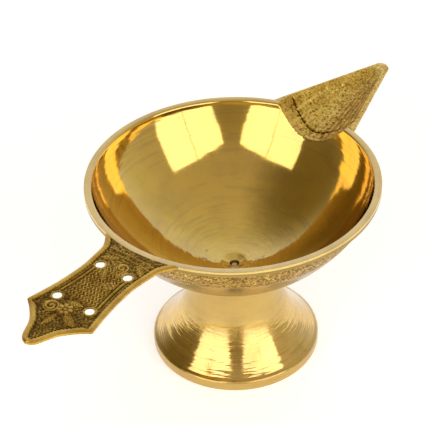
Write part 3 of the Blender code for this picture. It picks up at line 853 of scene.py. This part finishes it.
def make_handle(finish):
    rows = 300
    columns = 133
    side_x, side_y = handle_side()

    def half_at(x):
        return np.interp(x, side_x, side_y)

    share = np.linspace(-1, 1, columns)
    seat = RIM_RADIUS + 0.02 * MM
    start = np.full(columns, seat)
    for _ in range(8):
        start = np.sqrt(seat ** 2 - (share * half_at(start)) ** 2)
    end = HANDLE_REACH - 0.02 * MM
    spaced = np.linspace(0, 1, rows)
    spaced = spaced + 0.06 * np.sin(math.pi * spaced) * spaced
    x = start[None, :] + (end - start)[None, :] * spaced[:, None]
    half_width = np.maximum(half_at(x), 0.25 * MM)
    y = share[None, :] * half_width
    out = np.hypot(x, y * (1 - smooth_step(x, seat, seat + 8 * MM))) - RIM_RADIUS
    # distance in from the outline, allowing for its slope
    slope = np.interp(x, side_x[1:], np.diff(side_y) / np.maximum(np.diff(side_x), 1e-6))
    edge = (half_width - np.abs(y)) / np.sqrt(1 + np.clip(slope, -2, 2) ** 2)
    edge = np.minimum(edge, HANDLE_REACH - x)
    relief = handle_relief(out, y, half_width)
    cord = 0.35 * MM * wave(x + 0.35 * y, 1.15 * MM)
    inner_edge = HANDLE_BORDER + cord
    border = 1 - smooth_step(edge, inner_edge - 0.25 * MM, inner_edge + 0.35 * MM)
    groove = crest(edge - HANDLE_BORDER - 0.55 * MM, 0.4 * MM) * (1 - border)
    relief = relief * (1 - 0.75 * groove)
    shade = border * (0.90 + 0.10 * value_noise(x, y, 0.8 * MM, 33)) + (1 - border) * 0.88 * relief
    rounding = 0.42 * MM * (1 - smooth_step(edge, 0, 0.75 * MM))
    sunk = (1 - border) * (HANDLE_SINK - relief * HANDLE_RELIEF)
    top = HANDLE_TOP - sunk - rounding
    underside = HANDLE_TOP - HANDLE_THICKNESS + 0.35 * MM * (1 - smooth_step(edge, 0, 0.8 * MM))
    underside = underside + 0.08 * MM * value_noise(x, y, 1.4 * MM, 34)
    bottom = np.minimum(underside, top - 0.45 * MM)
    handle = sheet_body("handle_cast", np.stack([AXIS_X - x, y, top], axis=-1),
                        np.stack([AXIS_X - x, y, bottom], axis=-1), 60)
    set_relief(handle, np.concatenate([shade, 0.55 + 0 * shade]))
    cut(handle, [hole_cutter(distance, side * offset)
                 for distance, offset in (NEAR_HOLES, FAR_HOLES) for side in (1, -1)])
    return place(handle, "bowl_body", "handle", finish)


def hole_cutter(distance, y):
    """Round cutter, narrowest just under the plate's top and widest at its underside."""
    facets = HOLE_FACETS
    angle = np.arange(facets) * TAU / facets
    rings = [(0.0, 1.0), (HOLE_RADIUS + 0.25 * MM, 1.0), (HOLE_RADIUS, -0.35),
             (HOLE_RADIUS + HOLE_TAPER, -1.6), (HOLE_RADIUS + HOLE_TAPER, -3.0), (0.0, -3.0)]
    points = []
    for radius, height in rings:
        count = 1 if radius == 0 else facets
        for turn in angle[:count]:
            points.append((AXIS_X - RIM_RADIUS - distance + radius * math.cos(turn),
                           y + radius * math.sin(turn), HANDLE_TOP + height * MM))
    faces = []
    for i in range(facets):
        j = (i + 1) % facets
        faces.append((0, 1 + i, 1 + j))
        for ring in range(3):
            first = 1 + ring * facets
            faces.append((first + i, first + facets + i, first + facets + j, first + j))
        faces.append((len(points) - 1, 1 + 3 * facets + j, 1 + 3 * facets + i))
    cutter = add_mesh("hole_cutter", points, faces)
    face_out(cutter)
    return cutter


# ---------------------------------------------------------------- foot

def make_foot(finish):
    flare_radius = BASE_RADIUS - BASE_SHOULDER
    shares = np.linspace(1, 0, 61)
    flare = [(NECK_RADIUS + (flare_radius - NECK_RADIUS) * (1 - share) ** FLARE_POWER,
              BASE_BAND + (FOOT_TOP - 0.1 * MM - BASE_BAND) * share) for share in shares]
    # plainest low on the flare
    marks = np.random.default_rng(5).normal(0, 1, len(flare)) * TOOL_MARKS
    flare = [(r + m * (0.3 + (1 - s)), z) for (r, z), m, s in zip(flare, marks, shares)]
    shoulder = BASE_BAND - BASE_SHOULDER
    band = [(BASE_RADIUS - 0.55 * MM, shoulder + 0.85 * BASE_SHOULDER),
            (BASE_RADIUS - 0.2 * MM, shoulder + 0.55 * BASE_SHOULDER),
            (BASE_RADIUS, shoulder)]
    band += line_points((BASE_RADIUS, shoulder), (BASE_RADIUS, BASE_CHAMFER), 5)
    band += [(BASE_RADIUS - 0.12 * MM, 0.12 * MM), (BASE_RADIUS - BASE_CHAMFER, 0.0),
             (BASE_RADIUS - BASE_RING + 0.2 * MM, 0.0), (BASE_RADIUS - BASE_RING, 0.2 * MM)]
    hollow = []
    for (r0, z0), (r1, z1) in zip(flare[::4], flare[4::4]):
        length = math.hypot(r1 - r0, z1 - z0)
        point = (r0 + FOOT_WALL * (z1 - z0) / length, z0 - FOOT_WALL * (r1 - r0) / length)
        if point[1] < CEILING_Z - FOOT_WALL and point[0] < BASE_RADIUS - BASE_RING - 0.3 * MM:
            hollow.append(point)
    hollow.reverse()
    ceiling = [(hollow[-1][0], CEILING_Z - 0.6 * MM), (hollow[-1][0] - 0.6 * MM, CEILING_Z),
               (BORE_RADIUS, CEILING_Z)]
    socket_radius = BOSS_RADIUS + CLEARANCE
    socket = [(BORE_RADIUS, SOCKET_Z), (socket_radius, SOCKET_Z), (socket_radius, FOOT_TOP)]
    top = [(NECK_RADIUS - 0.1 * MM, FOOT_TOP)]
    outline = np.array(top + flare + band + hollow + ceiling + socket)
    foot = turned("foot_turned", outline[:, 0], outline[:, 1], FOOT_FACETS, 40)
    return place(foot, "foot_body", "foot", finish)


# ---------------------------------------------------------------- small parts inside the foot

def make_ring(name, node_name, body, finish, low, high):
    """Washer with rounded outer edges, as wide and thick as its CAD node."""
    radius = (high[0] - low[0]) / 2
    edge = min(0.15 * MM, (high[2] - low[2]) / 3)
    outline = [(BORE_RADIUS, high[2])]
    outline += arc_points((radius - edge, high[2] - edge), edge, 90, 0, 5)
    outline += arc_points((radius - edge, low[2] + edge), edge, 0, -90, 5)
    outline += [(BORE_RADIUS, low[2])]
    outline = np.array(outline)
    ring = turned(name, outline[:, 0], outline[:, 1], 96)
    return place(ring, body, node_name, finish)


def make_nut(finish):
    flat = (NUT_HIGH[1] - NUT_LOW[1]) / 2
    facets = 180
    angle = np.arange(facets) * TAU / facets
    hexagon = flat / np.cos((angle + math.pi / 6) % (math.pi / 3) - math.pi / 6)
    washer_face = 0.95 * flat
    fall = (hexagon - washer_face) * math.tan(math.radians(30))
    low, high = NUT_LOW[2], NUT_HIGH[2]
    even = 0 * angle
    rows = [(even + BORE_RADIUS + 0.25 * MM, even + high), (even + washer_face, even + high),
            (hexagon, high - fall), (hexagon, low + fall), (even + washer_face, even + low),
            (even + BORE_RADIUS + 0.25 * MM, even + low),
            (even + BORE_RADIUS, even + low + 0.25 * MM),
            (even + BORE_RADIUS, even + high - 0.25 * MM)]
    nut = turned("nut_hexagon", np.array([r for r, _ in rows]), np.array([z for _, z in rows]),
                 facets, 25)
    return place(nut, "foot_body", "nut", finish)


def make_stud(finish):
    """Stud with a cut thread: a ridge that climbs round it once every pitch."""
    crest_radius = BORE_RADIUS - 0.1 * MM
    rows = 241
    facets = 40
    height = np.linspace(STUD_LOW[2], STUD_HIGH[2], rows)[:, None]
    angle = (np.arange(facets) * TAU / facets)[None, :]
    phase = height / THREAD_PITCH - angle / TAU
    tooth = 1 - np.abs(2 * (phase - np.floor(phase)) - 1)
    end = np.minimum(height - STUD_LOW[2], STUD_HIGH[2] - height)
    radius = crest_radius - THREAD_DEPTH * (1 - tooth)
    radius = np.minimum(radius, crest_radius - 0.45 * MM + 0.9 * end)
    points = np.stack([AXIS_X + radius * np.cos(angle), radius * np.sin(angle),
                       height + 0 * angle], axis=-1).reshape(-1, 3)
    faces = grid_faces(rows, facets, close_columns=True).tolist()
    faces.append(list(range(facets))[::-1])
    faces.append(list(range((rows - 1) * facets, rows * facets)))
    stud = add_mesh("stud_threaded", points, faces, 35)
    face_out(stud)
    return place(stud, "foot_body", "stud", finish)


# ---------------------------------------------------------------- studio

CAMERA_PLACE = Vector((-0.3405, -0.2684, 0.3872))
CAMERA_TURN = (0.9212, 0.0248, -0.9118)
CAMERA_LENS = 136.36           # mm, on a 36 mm sensor

# Angles in degrees, one softbox on each side of the camera
SOFTBOX_AZIMUTH = 39
SOFTBOX_ELEVATION = 24
SOFTBOX_WIDTH = 49
SOFTBOX_HEIGHT = 40
SOFTBOX_DISTANCE = 1.3
SOFTBOX_SEAM = 14 * MM
SOFTBOX_RADIANCE = 1.65
SOFTBOX_AIM_Z = 0.04

FLOOR_REACH = 4.0
FLOOR_GLOW = 0.54


def camera_azimuth():
    """Direction from the lathe axis to the camera, in the plan."""
    return math.atan2(CAMERA_PLACE.y, CAMERA_PLACE.x - AXIS_X)


def direction(azimuth, elevation):
    """Unit vector. azimuth is in degrees from the camera, growing to the right of the picture."""
    turn = camera_azimuth() + math.radians(azimuth)
    rise = math.radians(elevation)
    level = math.cos(rise)
    return Vector((level * math.cos(turn), level * math.sin(turn), math.sin(rise)))


def add_softbox(name, azimuth):
    """Softbox that faces the lamp, in two halves with a seam between them."""
    towards = direction(azimuth, SOFTBOX_ELEVATION)
    turn = towards.to_track_quat("Z", "Y")
    half = SOFTBOX_DISTANCE * math.tan(math.radians(SOFTBOX_WIDTH / 2)) - SOFTBOX_SEAM / 2
    height = 2 * SOFTBOX_DISTANCE * math.tan(math.radians(SOFTBOX_HEIGHT / 2))
    middle = Vector((AXIS_X, 0, SOFTBOX_AIM_Z)) + SOFTBOX_DISTANCE * towards
    for side in (-1, 1):
        data = bpy.data.lights.new(name, "AREA")
        data.shape = "RECTANGLE"
        data.size = half
        data.size_y = height
        data.energy = SOFTBOX_RADIANCE * math.pi * data.size * data.size_y
        panel = bpy.data.objects.new(name, data)
        bpy.context.scene.collection.objects.link(panel)
        panel.rotation_euler = turn.to_euler()
        panel.location = middle + turn @ Vector((side * (half + SOFTBOX_SEAM) / 2, 0, 0))


def make_world():
    """Plain studio, brightest behind the lamp, dimmer round the camera and to its left."""
    world = bpy.data.worlds.new("studio")
    bpy.context.scene.world = world
    world.use_nodes = True
    tree = world.node_tree
    view = node(tree, "ShaderNodeTexCoord").outputs["Generated"]

    def facing(azimuth, elevation):
        return node(tree, "ShaderNodeVectorMath", {"operation": "DOT_PRODUCT"}, n0=view,
                    n1=direction(azimuth, elevation)).outputs["Value"]

    share = node(tree, "ShaderNodeMapRange", n0=facing(0, 15), n1=-1.0, n2=1.0).outputs[0]
    sky = ramp(tree, share, [(0.0, (0.88, 0.90, 1.10)), (0.19, (0.76, 0.78, 0.90)),
                             (0.45, (0.57, 0.54, 0.42)), (0.73, (0.50, 0.43, 0.31)),
                             (0.93, (0.44, 0.37, 0.27)), (1.0, (0.31, 0.25, 0.14))])
    left = node(tree, "ShaderNodeMapRange", {"interpolation_type": "SMOOTHSTEP"},
                n0=facing(-92, 32), n1=0.55, n2=1.0).outputs[0]
    sky = mix(tree, left, sky, (0.18, 0.135, 0.05))
    background = tree.nodes["Background"]
    tree.links.new(sky, background.inputs["Color"])
    background.inputs["Strength"].default_value = 1.0


def make_floor():
    far = FLOOR_REACH
    points = [(-far, -far, 0), (far, -far, 0), (far, far, 0), (-far, far, 0)]
    floor = add_mesh("floor", points, [(0, 1, 2, 3)])
    material, tree, shader = new_finish("floor_paper", 0.9, 0.0)
    here = node(tree, "ShaderNodeTexCoord").outputs["Object"]
    paper = noise(tree, here, 3.0, 2.0)
    tone = ramp(tree, paper, [(0.0, (0.93,)), (1.0, (0.95,))])
    tree.links.new(tone, shader.inputs["Base Color"])
    tree.links.new(tone, shader.inputs["Emission Color"])
    shader.inputs["Emission Strength"].default_value = FLOOR_GLOW
    floor.data.materials.append(material)


def make_camera():
    data = bpy.data.cameras.new("camera")
    data.sensor_width = 36.0
    data.lens = CAMERA_LENS
    data.dof.use_dof = False
    data.clip_start = 0.01
    camera = bpy.data.objects.new("camera", data)
    bpy.context.scene.collection.objects.link(camera)
    camera.location = CAMERA_PLACE
    camera.rotation_euler = CAMERA_TURN
    bpy.context.scene.camera = camera


def make_lights():
    add_softbox("softbox_right", SOFTBOX_AZIMUTH)
    add_softbox("softbox_left", -SOFTBOX_AZIMUTH)


# ---------------------------------------------------------------- build

def main():
    bpy.context.scene.view_settings.view_transform = "Standard"
    make_camera()
    make_world()
    make_floor()
    make_lights()

    polished = turned_finish("polished_brass", (BRASS_INNER, BRASS_TAN), (0.06, 0.11), 0.14 * MM)
    # satin outside of the bowl: rougher, and darker in colour as painted shade on the wall that
    # faces the floor
    satin = turned_finish("satin_brass_painted_shade", (SATIN_SHADED_BRIGHT, SATIN_SHADED_DULL), (0.26, 0.36), 0.02 * MM,
                          45, 0.2)
    lip = turned_finish("lip_brass", (BRASS_LIP, BRASS_TAN), (0.24, 0.32), 0.02 * MM, 90)
    foot = turned_finish("foot_brass", foot_zones_and_painted_shade, (0.28, 0.42), 0.22 * MM, 45, 0.5)
    band = cast_finish("cast_band_brass", BAND_TONES, 2.8, 1400)
    ornament = cast_finish("ornament_brass", ORNAMENT_TONES, 1.7, 1800)
    grainy = cast_finish("spout_brass", SPOUT_TONES, 2.8, 1400)
    steel = steel_finish()

    make_bowl(polished, band, satin, lip)
    make_spout(grainy)
    make_handle(ornament)
    make_foot(foot)
    thread = turned_finish("stud_brass", (BRASS_TAN, BRASS_DEEP), (0.32, 0.42), 0.004 * MM)
    make_stud(thread)
    make_ring("seal_ring", "seal_washer", "seal_body", rubber_finish(),
              SEAL_LOW, SEAL_HIGH)
    make_ring("plain_washer_ring", "plain_washer", "foot_body", steel,
              WASHER_LOW, WASHER_HIGH)
    make_nut(steel)


main()
